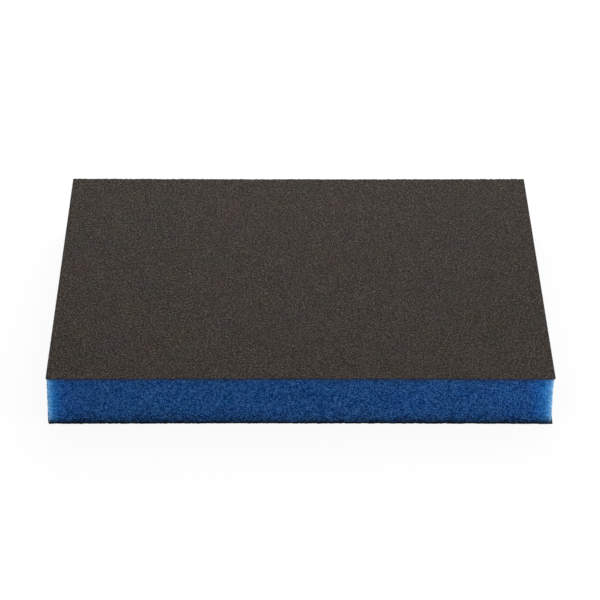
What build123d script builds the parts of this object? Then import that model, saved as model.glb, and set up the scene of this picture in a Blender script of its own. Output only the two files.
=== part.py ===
from build123d import *
import os

# A flat sanding sponge, worked with either broad face. It is a rectangular slab of
# open-cell foam with a thin coat of abrasive grain in resin bonded to its top and to its
# underside. The four edges are left as the knife cut them: bare foam, standing a little
# back from the stiffer coats and hollowed between them, because the slab bulges under the
# knife and springs back once it is cut.
#
# Frame: X runs along the length, Y along the width and Z up through the thickness. The
# origin is the middle of the underside. All sizes are in millimetres.

# Outline of the abrasive coats, which is the overall outline of the sponge.
length = 120.0
width = 98.0
corner_radius = 0.6

# Thicknesses, from the underside up.
coat_thickness = 0.3
foam_thickness = 12.4

# The bare cut edges of the foam.
foam_setback = 0.15
edge_hollow = 0.15

# Rounding of each coat's outer rim, where loose grain breaks away. A thin coat limits it.
rim_radius = 0.1
largest_rim_share = 0.6

foam_base = coat_thickness
foam_top = foam_base + foam_thickness
overall_thickness = foam_top + coat_thickness


def outline(inset):
    """The sponge's rectangle with its upright corners just rounded, drawn inset all round."""
    return RectangleRounded(length - 2 * inset, width - 2 * inset, corner_radius)


def abrasive_coat(base, outer_face):
    """A coat of grain that stands on the height base, with the rim of its outer face rounded."""
    coat = extrude(Pos(0, 0, base) * outline(0), amount=coat_thickness)
    rim = coat.faces().sort_by(Axis.Z)[outer_face].edges()
    return fillet(rim, min(rim_radius, largest_rim_share * coat_thickness))


def foam_slab():
    """The foam between the coats: lofted through a narrower waist, so that its cut edges are hollow."""
    waist = foam_base + foam_thickness / 2
    sections = [
        Pos(0, 0, foam_base) * outline(foam_setback),
        Pos(0, 0, waist) * outline(foam_setback + edge_hollow),
        Pos(0, 0, foam_top) * outline(foam_setback),
    ]
    return loft(sections)


underside, upper_side = 0, -1
nodes = {
    "foam_core": foam_slab(),
    "bottom_abrasive": abrasive_coat(0, underside),
    "top_abrasive": abrasive_coat(foam_top, upper_side),
}

os.makedirs("parts", exist_ok=True)
for name, solid in nodes.items():
    solid.label = name
    export_step(solid, f"parts/{name}.step")
    print(name, "volume", round(solid.volume, 1), "mm3")
print("overall", length, width, overall_thickness)
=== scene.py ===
"""A flat sanding sponge: blue open-cell foam with a thin coat of abrasive grain on each broad face."""

import math

import bmesh
import bpy
from mathutils import Matrix, Vector


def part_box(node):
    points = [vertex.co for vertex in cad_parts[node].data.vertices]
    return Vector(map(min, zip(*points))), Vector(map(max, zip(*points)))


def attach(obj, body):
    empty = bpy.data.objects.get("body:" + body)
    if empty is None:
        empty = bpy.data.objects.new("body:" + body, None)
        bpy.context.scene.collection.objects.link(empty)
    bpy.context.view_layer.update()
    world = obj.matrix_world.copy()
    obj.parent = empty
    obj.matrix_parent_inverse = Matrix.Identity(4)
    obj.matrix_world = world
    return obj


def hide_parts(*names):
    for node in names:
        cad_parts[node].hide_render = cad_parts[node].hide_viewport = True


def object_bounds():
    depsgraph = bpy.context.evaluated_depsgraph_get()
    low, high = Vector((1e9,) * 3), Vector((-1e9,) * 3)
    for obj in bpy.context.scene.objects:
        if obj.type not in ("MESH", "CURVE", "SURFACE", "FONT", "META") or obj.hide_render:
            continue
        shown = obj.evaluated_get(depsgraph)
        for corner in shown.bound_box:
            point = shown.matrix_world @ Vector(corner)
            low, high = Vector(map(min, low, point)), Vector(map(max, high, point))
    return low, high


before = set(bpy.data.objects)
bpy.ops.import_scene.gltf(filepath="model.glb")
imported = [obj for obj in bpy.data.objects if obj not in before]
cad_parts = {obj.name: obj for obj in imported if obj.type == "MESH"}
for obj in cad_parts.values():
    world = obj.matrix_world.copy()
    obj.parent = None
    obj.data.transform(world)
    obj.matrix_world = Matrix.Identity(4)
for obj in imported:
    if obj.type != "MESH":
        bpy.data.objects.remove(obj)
cad_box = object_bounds()

MM = 0.001
TINY = 0.001 * MM

foam_low, foam_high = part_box("foam_core")
sponge_low, sponge_high = cad_box

# The knife drew the long sides of the sponge in a little half-way along.
waist = 0.2 * MM

# The foam's cut sides. The hollow is how far they draw in half-way up. The knife left the end
# towards +X a little short. The end towards -X leans out at its foot. What comes nearer to the
# sponge's end than the press depth there is pressed back to a share of how far it stands out.
foam_spacing = 0.24 * MM
upright_corner_radius = 0.6 * MM
upright_corner_steps = 4
side_hollow = 0.1 * MM
short_end = 0.2 * MM
foot_lean = 0.22 * MM
press_depth = 0.06 * MM
pressed_share = 0.25

# The open cells that the knife leaves on a cut side, and the lumps under them. An edge between
# two faces stays sharp where they meet at more than the smoothing angle.
cell_size = 0.48 * MM
cell_depth = 0.26 * MM
cell_level = 0.55
cell_scatter = 0.09 * MM
lump_size = 4 * MM
lump_height = 0.08 * MM
smoothing_angle = math.radians(60)

# The abrasive coats: how far the grains lie apart, and how far they stand out of the resin.
grain_spacing = 0.37 * MM
grain_scatter = 0.12 * MM
grain_height = 0.07 * MM
coat_corner_radius = 0.3 * MM
coat_corner_steps = 3
rim_steps = 2

# The rims of the coats. The lower one wanders in and out as well.
top_rim_raggedness = 0.025 * MM
bottom_rim_raggedness = 0.045 * MM
rim_wander = 0.2 * MM
rim_wander_size = 1.6 * MM

# What the random scatter of each piece starts from.
foam_seed = 5
top_seed = 11
bottom_seed = 31

# The bake maps: their name, the empty edge round each part of a map, how many rows a wall is
# unrolled into, and how far up the map each part ends. Hidden faces lie above the last part.
# A face of a coat belongs to its broad face where its normal is more upright than the last value.
bake_map = "OFBake"
map_edge = 0.004
foam_map_rows = 6
foam_map_sides_end = 0.98
coat_map_rows = 4
coat_map_face_end = 0.82
coat_map_rim_end = 0.96
coat_map_face_normal = 0.6

# The studio: how bright the room and the floor are, and how the camera looks at the sponge.
room_level = 0.655
floor_paint = 0.92
floor_glow = 1.026
floor_glow_share = 0.86
camera_azimuth = math.radians(-0.4531)
camera_elevation = math.radians(31.165)
camera_roll = math.radians(0.2628)
camera_distance = 677.95 * MM
camera_target = Vector((0.121 * MM, 0, 4.878 * MM))
camera_lens = 161.37
camera_sensor = 36


# ---- Working by hand -------------------------------------------------------------------------


def take_up(piece):
    """Selects one piece and nothing else, and makes it the active one."""
    bpy.ops.object.select_all(action="DESELECT")
    piece.select_set(True)
    bpy.context.view_layer.objects.active = piece


def new_piece(name):
    """Names the primitive that was just added, and opens it in edit mode."""
    piece = bpy.context.active_object
    piece.name = name
    piece.data.name = name
    take_up(piece)
    bpy.ops.object.mode_set(mode="EDIT")
    return piece


def put_down():
    """Leaves edit mode with the faces outwards, and puts the taken piece's place into its mesh."""
    bpy.ops.mesh.select_all(action="SELECT")
    bpy.ops.mesh.normals_make_consistent(inside=False)
    bpy.ops.mesh.select_all(action="DESELECT")
    bpy.ops.object.mode_set(mode="OBJECT")
    bpy.ops.object.transform_apply(location=True, rotation=True, scale=True)


def select_where(piece, kind, wanted):
    """In edit mode, selects just the vertices or edges that pass a test."""
    bpy.ops.mesh.select_mode(type=kind)
    bpy.ops.mesh.select_all(action="DESELECT")
    shape = bmesh.from_edit_mesh(piece.data)
    choices = {"VERT": shape.verts, "EDGE": shape.edges}
    for element in choices[kind]:
        if wanted(element):
            element.select_set(True)
    shape.select_flush_mode()
    bmesh.update_edit_mesh(piece.data)


def divide_run(piece, on_run, steps):
    """Divides each edge on a straight run into about so many equal steps.

    One pass makes 100 cuts at most and a run needs more, so it takes two passes.
    """
    first_steps = math.isqrt(steps)
    for pass_steps in (first_steps, round(steps / first_steps)):
        select_where(piece, "EDGE", on_run)
        bpy.ops.mesh.subdivide(number_cuts=pass_steps - 1)


def carve(piece, name, texture, size, strength, mid_level, direction="NORMAL", group=""):
    """Pushes the surface, or one group of its points, in and out by a solid texture.

    Where the texture is at the middle level, the surface stays where it is.
    """
    texture.noise_scale = size
    carving = piece.modifiers.new(name, "DISPLACE")
    carving.texture = texture
    carving.texture_coords = "LOCAL"
    carving.strength = strength
    carving.mid_level = mid_level
    carving.direction = direction
    carving.vertex_group = group
    take_up(piece)
    bpy.ops.object.modifier_apply(modifier=name)


# ---- The outline, which the foam and the coats share -------------------------------------------


def draw_waist(piece):
    """Draws the long sides in half-way along, and less and less towards the ends."""
    take_up(piece)
    bpy.ops.object.mode_set(mode="EDIT")
    select_where(piece, "VERT", lambda v: abs(v.co.x) < grain_spacing)
    bpy.ops.transform.resize(
        value=(1, 1 - waist / sponge_high.y, 1),
        center_override=(0, 0, 0),
        use_proportional_edit=True,
        proportional_edit_falloff="INVERSE_SQUARE",
        proportional_size=sponge_high.x,
    )
    bpy.ops.object.mode_set(mode="OBJECT")


def trim_outline(piece):
    """Draws a piece in or out until its furthest points lie on the outline of the sponge."""
    low = Vector(piece.bound_box[0])
    high = Vector(piece.bound_box[6])
    middle = (low + high) / 2
    size = high - low
    length = sponge_high.x - sponge_low.x
    width = sponge_high.y - sponge_low.y
    draw = (length / size.x, width / size.y, 1)
    take_up(piece)
    bpy.ops.transform.translate(value=(-middle.x, -middle.y, 0))
    bpy.ops.transform.resize(value=draw, center_override=(0, 0, 0))
    bpy.ops.object.transform_apply(location=True, rotation=True, scale=True)


# ---- The foam --------------------------------------------------------------------------------


def foam_tube():
    """The four cut sides of the foam as an open tube with rounded corners and hollow sides."""
    half_length, half_width = foam_high.x, foam_high.y
    height = foam_high.z - foam_low.z
    bpy.ops.object.select_all(action="DESELECT")
    bpy.ops.mesh.primitive_plane_add(size=2, location=(0, 0, foam_low.z))
    piece = new_piece("foam_slab")
    centre = (0, 0, foam_low.z)
    bpy.ops.transform.resize(value=(half_length, half_width, 1), center_override=centre)
    bpy.ops.mesh.bevel(
        affect="VERTICES", offset=upright_corner_radius, segments=upright_corner_steps
    )
    bpy.ops.mesh.select_all(action="SELECT")
    bpy.ops.mesh.delete(type="ONLY_FACE")

    def along_x(edge):
        return all(abs(abs(v.co.y) - half_width) < TINY for v in edge.verts)

    def along_y(edge):
        return all(abs(abs(v.co.x) - half_length) < TINY for v in edge.verts)

    divide_run(piece, along_x, round(2 * half_length / foam_spacing))
    divide_run(piece, along_y, round(2 * half_width / foam_spacing))

    # The foot of the end towards -X leans out.
    select_where(piece, "VERT", lambda v: v.co.x < TINY - half_length)
    bpy.ops.transform.translate(value=(-foot_lean, 0, 0))

    # Each row is raised from the one below it and drawn in or let out to its own length and
    # width. The end towards +X only follows the hollow, so the lean is all at the other end.
    rows = round(height / foam_spacing)
    rise = height / rows
    inset = 0
    width = 2 * half_width
    length = 2 * half_length + foot_lean
    bpy.ops.mesh.select_all(action="SELECT")
    for row in range(1, rows + 1):
        share = row / rows
        next_inset = side_hollow * (1 - (2 * share - 1) ** 2)
        next_length = 2 * (half_length - next_inset) + foot_lean * (1 - share)
        next_width = 2 * (half_width - next_inset)
        step = (inset - next_inset, 0, rise)
        fixed_end = (half_length - next_inset, 0, 0)
        draw = (next_length / length, next_width / width, 1)
        bpy.ops.mesh.extrude_edges_move(TRANSFORM_OT_translate={"value": step})
        bpy.ops.transform.resize(value=draw, center_override=fixed_end)
        inset, length, width = next_inset, next_length, next_width
    return piece


def press_back(piece, end):
    """In edit mode, presses back the points that lie near or past the end towards -X."""
    limit = end + press_depth
    select_where(piece, "VERT", lambda v: v.co.x < limit)
    bpy.ops.transform.resize(value=(pressed_share, 1, 1), center_override=(limit, 0, 0))


def rim_test(level):
    """A test for the open edge of the foam tube that lies near a level."""
    return lambda v: v.is_boundary and abs(v.co.z - level) < foam_spacing


def foam_slab():
    """The foam between the coats, with the open cells of a fresh cut on its four sides."""
    piece = foam_tube()
    lowest = foam_low.z + foam_spacing / 2
    highest = foam_high.z - foam_spacing / 2
    select_where(piece, "VERT", lambda v: lowest < v.co.z < highest)
    bpy.ops.transform.vertex_random(offset=cell_scatter, uniform=0, normal=0, seed=foam_seed)
    put_down()

    cells = bpy.data.textures.new("open cells", "VORONOI")
    carve(piece, "open cells", cells, cell_size, cell_depth, cell_level)
    lumps = bpy.data.textures.new("lumps", "CLOUDS")
    carve(piece, "lumps", lumps, lump_size, lump_height, 0.5)

    # Both rims of the tube are laid flat against the coats and closed.
    take_up(piece)
    bpy.ops.object.mode_set(mode="EDIT")
    for level in (foam_low.z, foam_high.z):
        select_where(piece, "VERT", rim_test(level))
        bpy.ops.transform.resize(value=(1, 1, 0), center_override=(0, 0, level))
        bpy.ops.mesh.edge_face_add()
    press_back(piece, sponge_low.x)
    put_down()

    # The slab is fitted to the sponge's outline, and then the end towards +X is cut short.
    draw_waist(piece)
    trim_outline(piece)
    shorter = 1 - short_end / (sponge_high.x - sponge_low.x)
    bpy.ops.transform.resize(value=(shorter, 1, 1), center_override=(sponge_low.x, 0, 0))
    bpy.ops.object.transform_apply(location=True, rotation=True, scale=True)
    bpy.ops.object.shade_smooth_by_angle(angle=smoothing_angle)
    return piece


# ---- The abrasive coats ----------------------------------------------------------------------


def roughen_rim(level, raggedness, seed):
    """Scatters the selected ring of the rim, and lays it flat at its level."""
    bpy.ops.transform.vertex_random(offset=raggedness, uniform=0, normal=0, seed=seed)
    bpy.ops.transform.resize(value=(1, 1, 0), center_override=(0, 0, level))


def abrasive_coat(name, node_name, outwards, raggedness, seed):
    """One coat: a bed of resin with grain standing out of its broad face and a ragged rim.

    Outwards is 1 for the coat that faces up and -1 for the one that faces down.
    """
    low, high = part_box(node_name)
    outer_level, inner_level = (high.z, low.z) if outwards > 0 else (low.z, high.z)
    bed_level = outer_level - outwards * grain_height
    half_length, half_width = high.x, high.y
    bpy.ops.object.select_all(action="DESELECT")
    bpy.ops.mesh.primitive_grid_add(
        x_subdivisions=round(2 * half_length / grain_spacing),
        y_subdivisions=round(2 * half_width / grain_spacing),
        size=2,
        location=(0, 0, bed_level),
    )
    piece = new_piece(name)
    centre = (0, 0, bed_level)
    bpy.ops.transform.resize(value=(half_length, half_width, 1), center_override=centre)

    # The four corners, the only points where just two edges meet, are rounded.
    select_where(piece, "VERT", lambda v: len(v.link_edges) == 2)
    bpy.ops.mesh.bevel(
        affect="VERTICES", offset=coat_corner_radius, segments=coat_corner_steps
    )

    # The grains lie unevenly and the rim is ragged, but the bed stays flat.
    select_where(piece, "VERT", lambda v: not v.is_boundary)
    bpy.ops.transform.vertex_random(offset=grain_scatter, uniform=0, normal=0, seed=seed)
    select_where(piece, "VERT", lambda v: v.is_boundary)
    roughen_rim(bed_level, raggedness, seed + 1)

    # Each grain stands out of the bed by its own height.
    bpy.ops.mesh.select_all(action="SELECT")
    bpy.ops.transform.resize(value=(1, 1, 0), center_override=centre)
    if outwards < 0:
        bpy.ops.mesh.flip_normals()
    bpy.ops.transform.vertex_random(offset=grain_height, uniform=0, normal=1, seed=seed + 2)

    # The rim goes back to the foam in steps, each as ragged as the last.
    select_where(piece, "EDGE", lambda e: e.is_boundary)
    for step in range(1, rim_steps + 1):
        bpy.ops.mesh.extrude_edges_move()
        level = bed_level + (inner_level - bed_level) * step / rim_steps
        roughen_rim(level, raggedness, seed + 2 + step)
    bpy.ops.mesh.edge_face_add()
    put_down()
    return piece


def let_rim_wander(piece):
    """Moves the rim of a coat in and out in slow waves, in the plane of the coat."""
    inner_x = sponge_high.x - grain_spacing / 2
    inner_y = sponge_high.y - grain_spacing / 2
    on_rim = [
        v.index
        for v in piece.data.vertices
        if abs(v.co.x) > inner_x or abs(v.co.y) > inner_y
    ]
    rim = piece.vertex_groups.new(name="rim")
    rim.add(on_rim, 1, "ADD")
    waves = bpy.data.textures.new("rim waves", "CLOUDS")
    for direction in "XY":
        carve(piece, "rim waves", waves, rim_wander_size, rim_wander, 0.5, direction, "rim")
    piece.vertex_groups.clear()


# ---- Maps for baking -------------------------------------------------------------------------


def lay_map(piece, layout_of):
    """Gives a piece its bake map. layout_of(face) returns what lays that face's corners on it."""
    layer = piece.data.uv_layers.new(name=bake_map)
    vertices = piece.data.vertices
    spots = []
    for face in piece.data.polygons:
        spot_of = layout_of(face)
        for corner in face.vertices:
            spots.extend(spot_of(vertices[corner].co))
    layer.data.foreach_set("uv", spots)


def flat_layout(map_low, map_high, mirrored=False):
    """Lays a broad face flat, lengthways along the map, between two heights of the map."""
    length = sponge_high.x - sponge_low.x
    width = sponge_high.y - sponge_low.y
    start, way = (sponge_high.x, -1) if mirrored else (sponge_low.x, 1)
    span = map_high - map_low - 2 * map_edge

    def spot_of(place):
        along = way * (place.x - start) / length
        across = (place.y - sponge_low.y) / width
        return map_edge + along * (1 - 2 * map_edge), map_low + map_edge + across * span

    return spot_of


def way_round(place):
    """What measures how far round the outline a spot lies from the corner at -X -Y.

    The measure is the one of the side that the given place is on.
    """
    half_length, half_width = sponge_high.x, sponge_high.y
    if half_width - abs(place.y) < half_length - abs(place.x):
        if place.y < 0:
            return lambda spot: half_length + spot.x
        return lambda spot: 3 * half_length + 2 * half_width - spot.x
    if place.x > 0:
        return lambda spot: 2 * half_length + half_width + spot.y
    return lambda spot: 4 * half_length + 3 * half_width - spot.y


def wall_layout(face, low, high, rows, map_low, map_high):
    """Unrolls the wall round a piece into rows, one above another between two heights of the map."""
    row_length = 4 * (sponge_high.x + sponge_high.y) / rows
    row_height = (map_high - map_low) / rows
    round_to = way_round(face.center)
    row = round_to(face.center) // row_length
    span = (row_height - 2 * map_edge) / (high.z - low.z)
    base = map_low + row * row_height + map_edge

    def spot_of(place):
        along = round_to(place) / row_length - row
        return map_edge + along * (1 - 2 * map_edge), base + (place.z - low.z) * span

    return spot_of


def is_hidden(face):
    """Whether a face lies flat in one of the joins between the foam and a coat."""
    at_join = min(abs(face.center.z - level) for level in (foam_low.z, foam_high.z)) < TINY
    return at_join and abs(face.normal.z) > 1 - TINY


def foam_layout(face):
    """The foam's map: the cut sides in rows, and above them the hidden faces."""
    if is_hidden(face):
        return flat_layout(foam_map_sides_end, 1)
    return wall_layout(face, foam_low, foam_high, foam_map_rows, 0, foam_map_sides_end)


def coat_layout(low, high):
    """A coat's map: the broad face, above it the rim in rows, and then the hidden face."""

    def layout_of(face):
        if is_hidden(face):
            return flat_layout(coat_map_rim_end, 1)
        if abs(face.normal.z) > coat_map_face_normal:
            return flat_layout(0, coat_map_face_end, mirrored=face.normal.z < 0)
        return wall_layout(
            face, low, high, coat_map_rows, coat_map_face_end, coat_map_rim_end
        )

    return layout_of


# ---- Surface effects shared by the materials ---------------------------------------------------


def node(tree, kind, inputs=None, **settings):
    """Adds a shader node. An input is given a value, or the socket that feeds it."""
    added = tree.nodes.new(kind)
    for name, value in settings.items():
        setattr(added, name, value)
    for name, value in (inputs or {}).items():
        feed(tree, added.inputs[name], value)
    return added


def feed(tree, socket, value):
    """Gives an input its value, or links it to the socket that feeds it."""
    if isinstance(value, bpy.types.NodeSocket):
        tree.links.new(value, socket)
    else:
        socket.default_value = value


def maths(tree, operation, first, second=0.0, clamp=False):
    """Adds a Math node and returns its result."""
    added = node(
        tree, "ShaderNodeMath", {0: first, 1: second}, operation=operation, use_clamp=clamp
    )
    return added.outputs["Value"]


def fading(tree, distance, strength, reach):
    """A value that starts at the strength and dies away over a distance."""
    fall = maths(tree, "DIVIDE", distance, -reach)
    return maths(tree, "MULTIPLY", maths(tree, "EXPONENT", fall), strength)


def blend_colours(tree, share, first, second, way="MIX"):
    """Mixes two colours and returns the result.

    The colours of a Mix node are its inputs 6 and 7, and its output 2.
    """
    mix = node(tree, "ShaderNodeMix", {0: share, 6: first, 7: second}, data_type="RGBA")
    mix.blend_type = way
    return mix.outputs[2]


def ramp(tree, share, stops):
    """Adds a Color Ramp with the given (place, colour) stops and returns its colour."""
    added = node(tree, "ShaderNodeValToRGB", {"Fac": share})
    elements = added.color_ramp.elements
    while len(elements) < len(stops):
        elements.new(0.5)
    for element, (place, colour) in zip(elements, stops):
        element.position = place
        element.color = (*colour, 1)
    return added.outputs["Color"]


def between(tree, value, low, high, low_result=0.0, high_result=1.0):
    """Maps the range low..high smoothly to the results, and holds them outside it."""
    settings = {
        "Value": value,
        "From Min": low,
        "From Max": high,
        "To Min": low_result,
        "To Max": high_result,
    }
    added = node(tree, "ShaderNodeMapRange", settings, interpolation_type="SMOOTHSTEP")
    return added.outputs["Result"]


def new_effect(name, inputs, outputs):
    """A node group with (name, kind, value) inputs and (name, kind) outputs."""
    effect = bpy.data.node_groups.new(name, "ShaderNodeTree")
    for label, kind, value in inputs:
        socket = effect.interface.new_socket(label, in_out="INPUT", socket_type=kind)
        if value is not None:
            socket.default_value = value
    for label, kind in outputs:
        effect.interface.new_socket(label, in_out="OUTPUT", socket_type=kind)
    entry = effect.nodes.new("NodeGroupInput")
    result = effect.nodes.new("NodeGroupOutput")
    return effect, entry.outputs, result.inputs


def packed_cells():
    """Close-packed cells: two random values for each, their walls, and how domed they are."""
    effect, given, result = new_effect(
        "packed cells",
        inputs=[
            ("Vector", "NodeSocketVector", None),
            ("Cells per Metre", "NodeSocketFloat", 1000.0),
            ("Wall Share", "NodeSocketFloat", 0.2),
        ],
        outputs=[
            ("Shade", "NodeSocketFloat"),
            ("Hue", "NodeSocketFloat"),
            ("Wall", "NodeSocketFloat"),
            ("Dome", "NodeSocketFloat"),
        ],
    )
    placing = {"Vector": given["Vector"], "Scale": given["Cells per Metre"]}
    centres = node(effect, "ShaderNodeTexVoronoi", placing, feature="F1")
    walls = node(effect, "ShaderNodeTexVoronoi", placing, feature="DISTANCE_TO_EDGE")
    shade = node(effect, "ShaderNodeSeparateColor", {"Color": centres.outputs["Color"]})
    effect.links.new(shade.outputs["Red"], result["Shade"])
    effect.links.new(shade.outputs["Green"], result["Hue"])
    wall = between(effect, walls.outputs["Distance"], 0.0, given["Wall Share"], 1.0, 0.0)
    effect.links.new(wall, result["Wall"])
    dome = maths(effect, "SUBTRACT", 1.0, centres.outputs["Distance"], clamp=True)
    effect.links.new(dome, result["Dome"])
    return effect


def uneven_tone():
    """Soft patches that make a surface lighter or darker, and others that redden it or blue it."""
    effect, given, result = new_effect(
        "uneven tone",
        inputs=[
            ("Vector", "NodeSocketVector", None),
            ("Patches per Metre", "NodeSocketFloat", 100.0),
            ("Depth", "NodeSocketFloat", 0.1),
        ],
        outputs=[
            ("Tone", "NodeSocketFloat"),
            ("Redness", "NodeSocketFloat"),
            ("Blueness", "NodeSocketFloat"),
        ],
    )
    placing = {"Vector": given["Vector"], "Scale": given["Patches per Metre"], "Detail": 2.0}
    clouds = node(effect, "ShaderNodeTexNoise", placing)
    patches = node(effect, "ShaderNodeSeparateColor", {"Color": clouds.outputs["Color"]}).outputs
    effect.links.new(patches["Green"], result["Redness"])
    effect.links.new(patches["Blue"], result["Blueness"])
    offset = maths(effect, "SUBTRACT", patches["Red"], 0.5)
    swing = maths(effect, "MULTIPLY", offset, given["Depth"])
    tone = maths(effect, "ADD", swing, 1.0)
    effect.links.new(tone, result["Tone"])
    return effect


def place_effect(tree, effect, inputs):
    """Places a node group in a material with its own values."""
    placed = node(tree, "ShaderNodeGroup")
    placed.node_tree = effect
    for name, value in inputs.items():
        feed(tree, placed.inputs[name], value)
    return placed.outputs


def toned(tree, colour, tone, red_swing, blue_swing):
    """Makes a colour lighter or darker by a placed tone effect, and swings its red and its blue."""
    shares = {
        "Red": between(tree, tone["Redness"], 0.2, 0.8, 1 - red_swing, 1 + red_swing),
        "Green": 1.0,
        "Blue": between(tree, tone["Blueness"], 0.2, 0.8, 1 - blue_swing, 1 + blue_swing),
    }
    tint = node(tree, "ShaderNodeCombineColor", shares).outputs["Color"]
    colour = blend_colours(tree, 1.0, colour, tone["Tone"], "MULTIPLY")
    return blend_colours(tree, 1.0, colour, tint, "MULTIPLY")


# ---- Materials -------------------------------------------------------------------------------


def inside_of(tree, along, reach):
    """How far a spot lies inside the two planes that cross an axis at plus and minus a reach."""
    return maths(tree, "SUBTRACT", reach, maths(tree, "ABSOLUTE", along))


def new_material(name):
    """A material with an empty Principled shader. Returns it, its tree and its shader."""
    material = bpy.data.materials.new(name)
    material.use_nodes = True
    tree = material.node_tree
    return material, tree, tree.nodes["Principled BSDF"]


def foam_material(cells_effect, tone_effect):
    """Blue open-cell foam: pale struts round dark pores, with painted light that makes the upright
    corners paler and painted shade along both coats.
    """
    material, tree, surface = new_material("blue foam")
    spot = node(tree, "ShaderNodeTexCoord").outputs["Object"]

    # Lightness runs from the dark pores to the pale struts round them, with fine grain in both.
    cells = place_effect(
        tree, cells_effect, {"Vector": spot, "Cells per Metre": 3700.0, "Wall Share": 0.26}
    )
    fine = node(tree, "ShaderNodeTexNoise", {"Vector": spot, "Scale": 8000.0, "Detail": 1.0})
    shade = maths(tree, "MULTIPLY", cells["Shade"], 0.42)
    strut = maths(tree, "MULTIPLY", cells["Wall"], 0.42)
    grain = maths(tree, "MULTIPLY", maths(tree, "SUBTRACT", fine.outputs["Fac"], 0.4), 0.9)
    lightness = maths(tree, "ADD", maths(tree, "ADD", shade, strut), grain)
    pore_to_strut = [
        (0.1, (0.0002, 0.0078, 0.053)),
        (0.45, (0.0024, 0.041, 0.177)),
        (0.65, (0.0118, 0.086, 0.305)),
        (0.95, (0.11, 0.30, 0.65)),
    ]
    blue = ramp(tree, lightness, pore_to_strut)
    tone = place_effect(
        tree, tone_effect, {"Vector": spot, "Patches per Metre": 220.0, "Depth": 0.4}
    )
    blue = toned(tree, blue, tone, red_swing=0.15, blue_swing=0.05)

    # Painted light: round the upright corners the colour is paled as if light came through the foam,
    # further at the end towards +X, where more light falls, and each colour reaches a different depth.
    place = node(tree, "ShaderNodeSeparateXYZ", {"Vector": spot})
    from_end = inside_of(tree, place.outputs["X"], foam_high.x)
    from_side = inside_of(tree, place.outputs["Y"], foam_high.y)
    pace = between(tree, place.outputs["X"], foam_low.x, foam_high.x, 1.13, 0.87)
    from_corner = maths(tree, "MULTIPLY", maths(tree, "ADD", from_end, from_side), pace)
    painted_corner_light = {
        "Red": fading(tree, from_corner, 0.56, 0.51 * MM),
        "Green": fading(tree, from_corner, 0.57, 1.13 * MM),
        "Blue": fading(tree, from_corner, 0.74, 1.78 * MM),
    }
    glow = node(tree, "ShaderNodeCombineColor", painted_corner_light).outputs["Color"]
    strut_tone = maths(tree, "MULTIPLY", lightness, 2.0)
    painted_strut_light = blend_colours(tree, 1.0, glow, strut_tone, "MULTIPLY")
    glow = blend_colours(tree, 0.6, glow, painted_strut_light)
    blue = blend_colours(tree, 1.0, blue, glow, "ADD")

    # Painted shade: the foam darkens towards the lower coat, furthest in its pores, with a darker line
    # at its foot. A band of painted shadow lies on the foam just below the upper coat.
    above_bottom = maths(tree, "SUBTRACT", place.outputs["Z"], foam_low.z)
    below_top = maths(tree, "SUBTRACT", foam_high.z, place.outputs["Z"])
    pore_share = between(tree, lightness, 0.42, 0.68, 1.0, 0.12)
    painted_foot_shade = maths(tree, "MULTIPLY", fading(tree, above_bottom, 1.85, 1.08 * MM), pore_share)
    painted_foot_line = fading(tree, above_bottom, 0.88, 0.6 * MM)
    painted_top_shadow = fading(tree, below_top, 1.0, 0.44 * MM)
    foot_shade_colour = (0.005, 0.006, 0.012, 1)
    top_shadow_grey = (0.036, 0.034, 0.033, 1)
    colour = blend_colours(tree, painted_foot_shade, blue, foot_shade_colour)
    colour = blend_colours(tree, painted_foot_line, colour, foot_shade_colour)
    colour = blend_colours(tree, painted_top_shadow, colour, top_shadow_grey)
    tree.links.new(colour, surface.inputs["Base Color"])

    surface.inputs["Roughness"].default_value = 0.9
    surface.inputs["Specular IOR Level"].default_value = 0.02
    surface.inputs["Subsurface Weight"].default_value = 0.6
    surface.inputs["Subsurface Radius"].default_value = (0.45, 0.95, 1.45)
    surface.inputs["Subsurface Scale"].default_value = 1.4 * MM
    relief = node(
        tree, "ShaderNodeBump", {"Height": lightness, "Strength": 0.5, "Distance": 0.15 * MM}
    )
    tree.links.new(relief.outputs["Normal"], surface.inputs["Normal"])
    return material


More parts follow.
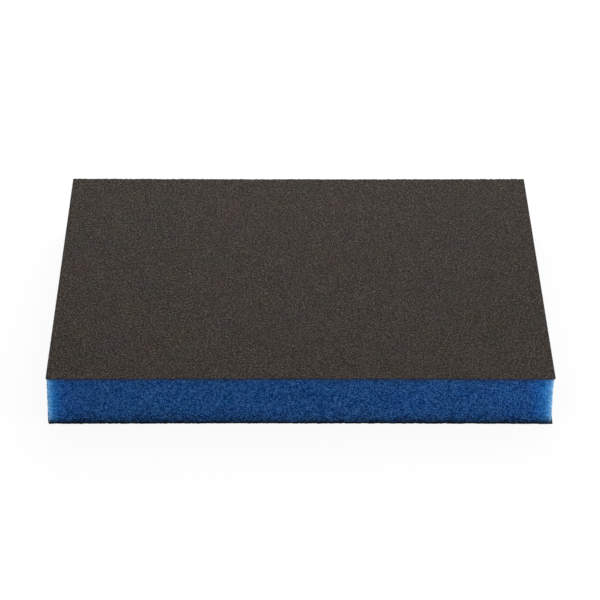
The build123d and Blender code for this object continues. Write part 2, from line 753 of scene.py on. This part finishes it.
def abrasive_material(cells_effect, tone_effect):
    """Brown-grey abrasive: grains of many shades bedded in dark resin, a few of them glinting."""
    material, tree, surface = new_material("abrasive grain")
    spot = node(tree, "ShaderNodeTexCoord").outputs["Object"]

    grains = place_effect(
        tree, cells_effect, {"Vector": spot, "Cells per Metre": 7400.0, "Wall Share": 0.15}
    )
    dark_to_pale = [
        (0.0, (0.0108, 0.0087, 0.0070)),
        (0.4, (0.0286, 0.0223, 0.0179)),
        (0.75, (0.0652, 0.0521, 0.0433)),
        (1.0, (0.152, 0.123, 0.104)),
    ]
    greenish = (0.90, 1.03, 0.98, 1)
    reddish = (1.10, 0.97, 1.0, 1)
    resin = (0.0204, 0.0159, 0.0127, 1)
    grit = ramp(tree, grains["Shade"], dark_to_pale)
    grain_tint = blend_colours(tree, grains["Hue"], greenish, reddish)
    grit = blend_colours(tree, 1.0, grit, grain_tint, "MULTIPLY")
    bedded = maths(tree, "MULTIPLY", grains["Wall"], 0.6)
    colour = blend_colours(tree, bedded, grit, resin)
    tone = place_effect(
        tree, tone_effect, {"Vector": spot, "Patches per Metre": 110.0, "Depth": 0.12}
    )
    colour = toned(tree, colour, tone, red_swing=0.085, blue_swing=0.1)

    # Painted shade and light: dark gaps and lit tops alternate from grain to grain over the coat.
    gaps = node(
        tree,
        "ShaderNodeTexNoise",
        {"Vector": spot, "Scale": 2450.0, "Detail": 0.0},
        noise_dimensions="2D",
    )
    grain_light_and_shade = between(tree, gaps.outputs["Fac"], 0.2, 0.8, 0.48, 1.52)
    colour = blend_colours(tree, 1.0, colour, grain_light_and_shade, "MULTIPLY")

    # Painted shade: the rim of the lower coat, but not its face, is darkened as if in shade near the
    # floor.
    place = node(tree, "ShaderNodeSeparateXYZ", {"Vector": spot})
    from_end = inside_of(tree, place.outputs["X"], sponge_high.x)
    from_side = inside_of(tree, place.outputs["Y"], sponge_high.y)
    from_rim = maths(tree, "MINIMUM", from_end, from_side)
    at_rim = between(tree, from_rim, 0.3 * MM, 0.5 * MM, 1.0, 0.0)
    low_down = between(tree, place.outputs["Z"], foam_low.z, 2 * foam_low.z, 1.0, 0.0)
    off_face = between(tree, place.outputs["Z"], 0.5 * grain_height, grain_height)
    painted_rim_shade = maths(tree, "MULTIPLY", maths(tree, "MULTIPLY", at_rim, low_down), off_face)
    rim_shade_colour = (0.004, 0.004, 0.014, 1)
    colour = blend_colours(tree, painted_rim_shade, colour, rim_shade_colour)

    # Blue fuzz of the foam clings to the foot of the upper coat's rim.
    by_foam = between(tree, place.outputs["Z"], foam_high.z, foam_high.z + 0.25 * MM, 0.6, 0.0)
    on_upper = maths(tree, "GREATER_THAN", place.outputs["Z"], 2 * foam_low.z)
    fuzz = maths(tree, "MULTIPLY", maths(tree, "MULTIPLY", at_rim, by_foam), on_upper)
    fuzz_blue = (0.014, 0.055, 0.17, 1)
    colour = blend_colours(tree, fuzz, colour, fuzz_blue)
    tree.links.new(colour, surface.inputs["Base Color"])

    # Only the palest grains are smooth enough to glint.
    roughness = between(tree, grains["Shade"], 0.8, 1.0, 0.8, 0.35)
    tree.links.new(roughness, surface.inputs["Roughness"])
    surface.inputs["Specular IOR Level"].default_value = 0.06
    relief = node(
        tree,
        "ShaderNodeBump",
        {"Height": grains["Dome"], "Strength": 0.6, "Distance": 0.12 * MM},
    )
    tree.links.new(relief.outputs["Normal"], surface.inputs["Normal"])
    return material


# ---- The studio ------------------------------------------------------------------------------


def seen_white(tree):
    """1 for what the camera sees directly, in gloss or through glass, and 0 for other light."""
    path = node(tree, "ShaderNodeLightPath").outputs
    gloss_or_glass = maths(
        tree, "MAXIMUM", path["Is Glossy Ray"], path["Is Transmission Ray"]
    )
    return maths(tree, "MAXIMUM", path["Is Camera Ray"], gloss_or_glass)


def light_room(level):
    """Plain light from all round, with a white backdrop behind it."""
    world = bpy.data.worlds.new("studio")
    world.use_nodes = True
    bpy.context.scene.world = world
    tree = world.node_tree
    tree.nodes.clear()
    room = node(tree, "ShaderNodeBackground", {"Color": (1, 1, 1, 1), "Strength": level})
    backdrop = node(tree, "ShaderNodeBackground", {"Color": (1, 1, 1, 1), "Strength": 1.0})
    mix = node(
        tree,
        "ShaderNodeMixShader",
        {0: seen_white(tree), 1: room.outputs[0], 2: backdrop.outputs[0]},
    )
    node(tree, "ShaderNodeOutputWorld", {"Surface": mix.outputs[0]})


def softbox(name, place, target, size, power):
    """A square area light that faces the target."""
    data = bpy.data.lights.new(name, "AREA")
    data.shape = "SQUARE"
    data.size = size
    data.energy = power
    lamp = bpy.data.objects.new(name, data)
    lamp.location = place
    facing = Vector(place) - Vector(target)
    lamp.rotation_euler = facing.to_track_quat("Z", "Y").to_euler()
    bpy.context.scene.collection.objects.link(lamp)


def lay_floor():
    """A wide, pale floor under the sponge.

    It lights the sponge as painted floor, and is itself seen almost white, with a soft shadow.
    """
    bpy.ops.object.select_all(action="DESELECT")
    bpy.ops.mesh.primitive_plane_add(size=6, location=(0, 0, 0))
    floor = bpy.context.active_object
    floor.name = "floor"
    material = bpy.data.materials.new("pale floor")
    material.use_nodes = True
    tree = material.node_tree
    tree.nodes.clear()
    paint_grey = (floor_paint, floor_paint, floor_paint, 1)
    painted = node(tree, "ShaderNodeBsdfDiffuse", {"Color": paint_grey})
    lit_white = node(tree, "ShaderNodeBsdfDiffuse", {"Color": (1, 1, 1, 1)})
    glow = node(tree, "ShaderNodeEmission", {"Color": (1, 1, 1, 1), "Strength": floor_glow})
    backdrop = node(
        tree,
        "ShaderNodeMixShader",
        {0: floor_glow_share, 1: lit_white.outputs[0], 2: glow.outputs[0]},
    )
    mix = node(
        tree,
        "ShaderNodeMixShader",
        {0: seen_white(tree), 1: painted.outputs[0], 2: backdrop.outputs[0]},
    )
    node(tree, "ShaderNodeOutputMaterial", {"Surface": mix.outputs[0]})
    floor.data.materials.append(material)


def place_camera():
    """A long lens that looks down on the long side towards -Y."""
    data = bpy.data.cameras.new("camera")
    data.lens = camera_lens
    data.sensor_width = camera_sensor
    camera = bpy.data.objects.new("camera", data)
    level = math.cos(camera_elevation)
    away = Vector((
        math.sin(camera_azimuth) * level,
        -math.cos(camera_azimuth) * level,
        math.sin(camera_elevation),
    ))
    turn = Matrix.Rotation(camera_azimuth, 4, "Z")
    turn = turn @ Matrix.Rotation(math.pi / 2 - camera_elevation, 4, "X")
    turn = turn @ Matrix.Rotation(camera_roll, 4, "Z")
    camera.matrix_world = Matrix.Translation(camera_target + camera_distance * away) @ turn
    bpy.context.scene.collection.objects.link(camera)
    bpy.context.scene.camera = camera


# ---- Making it all ---------------------------------------------------------------------------


place_camera()
light_room(room_level)
softbox("back softbox", (0, 0.27, 0.165), (0, 0, 0), size=0.28, power=0.63)
softbox("side softbox", (0.28, -0.14, 0.11), (0, 0, 0), size=0.1, power=0.21)
lay_floor()

cells_effect = packed_cells()
tone_effect = uneven_tone()

foam = foam_slab()
lay_map(foam, foam_layout)
foam.data.materials.append(foam_material(cells_effect, tone_effect))
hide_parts("foam_core")
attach(foam, "root")

abrasive = abrasive_material(cells_effect, tone_effect)
for name, node_name, outwards, raggedness, seed in (
    ("top_coat", "top_abrasive", 1, top_rim_raggedness, top_seed),
    ("bottom_coat", "bottom_abrasive", -1, bottom_rim_raggedness, bottom_seed),
):
    coat = abrasive_coat(name, node_name, outwards, raggedness, seed)
    if outwards < 0:
        let_rim_wander(coat)
    draw_waist(coat)
    trim_outline(coat)
    lay_map(coat, coat_layout(*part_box(node_name)))
    coat.data.materials.append(abrasive)
    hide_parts(node_name)
    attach(coat, "root")

bpy.context.scene.view_settings.view_transform = "Standard"
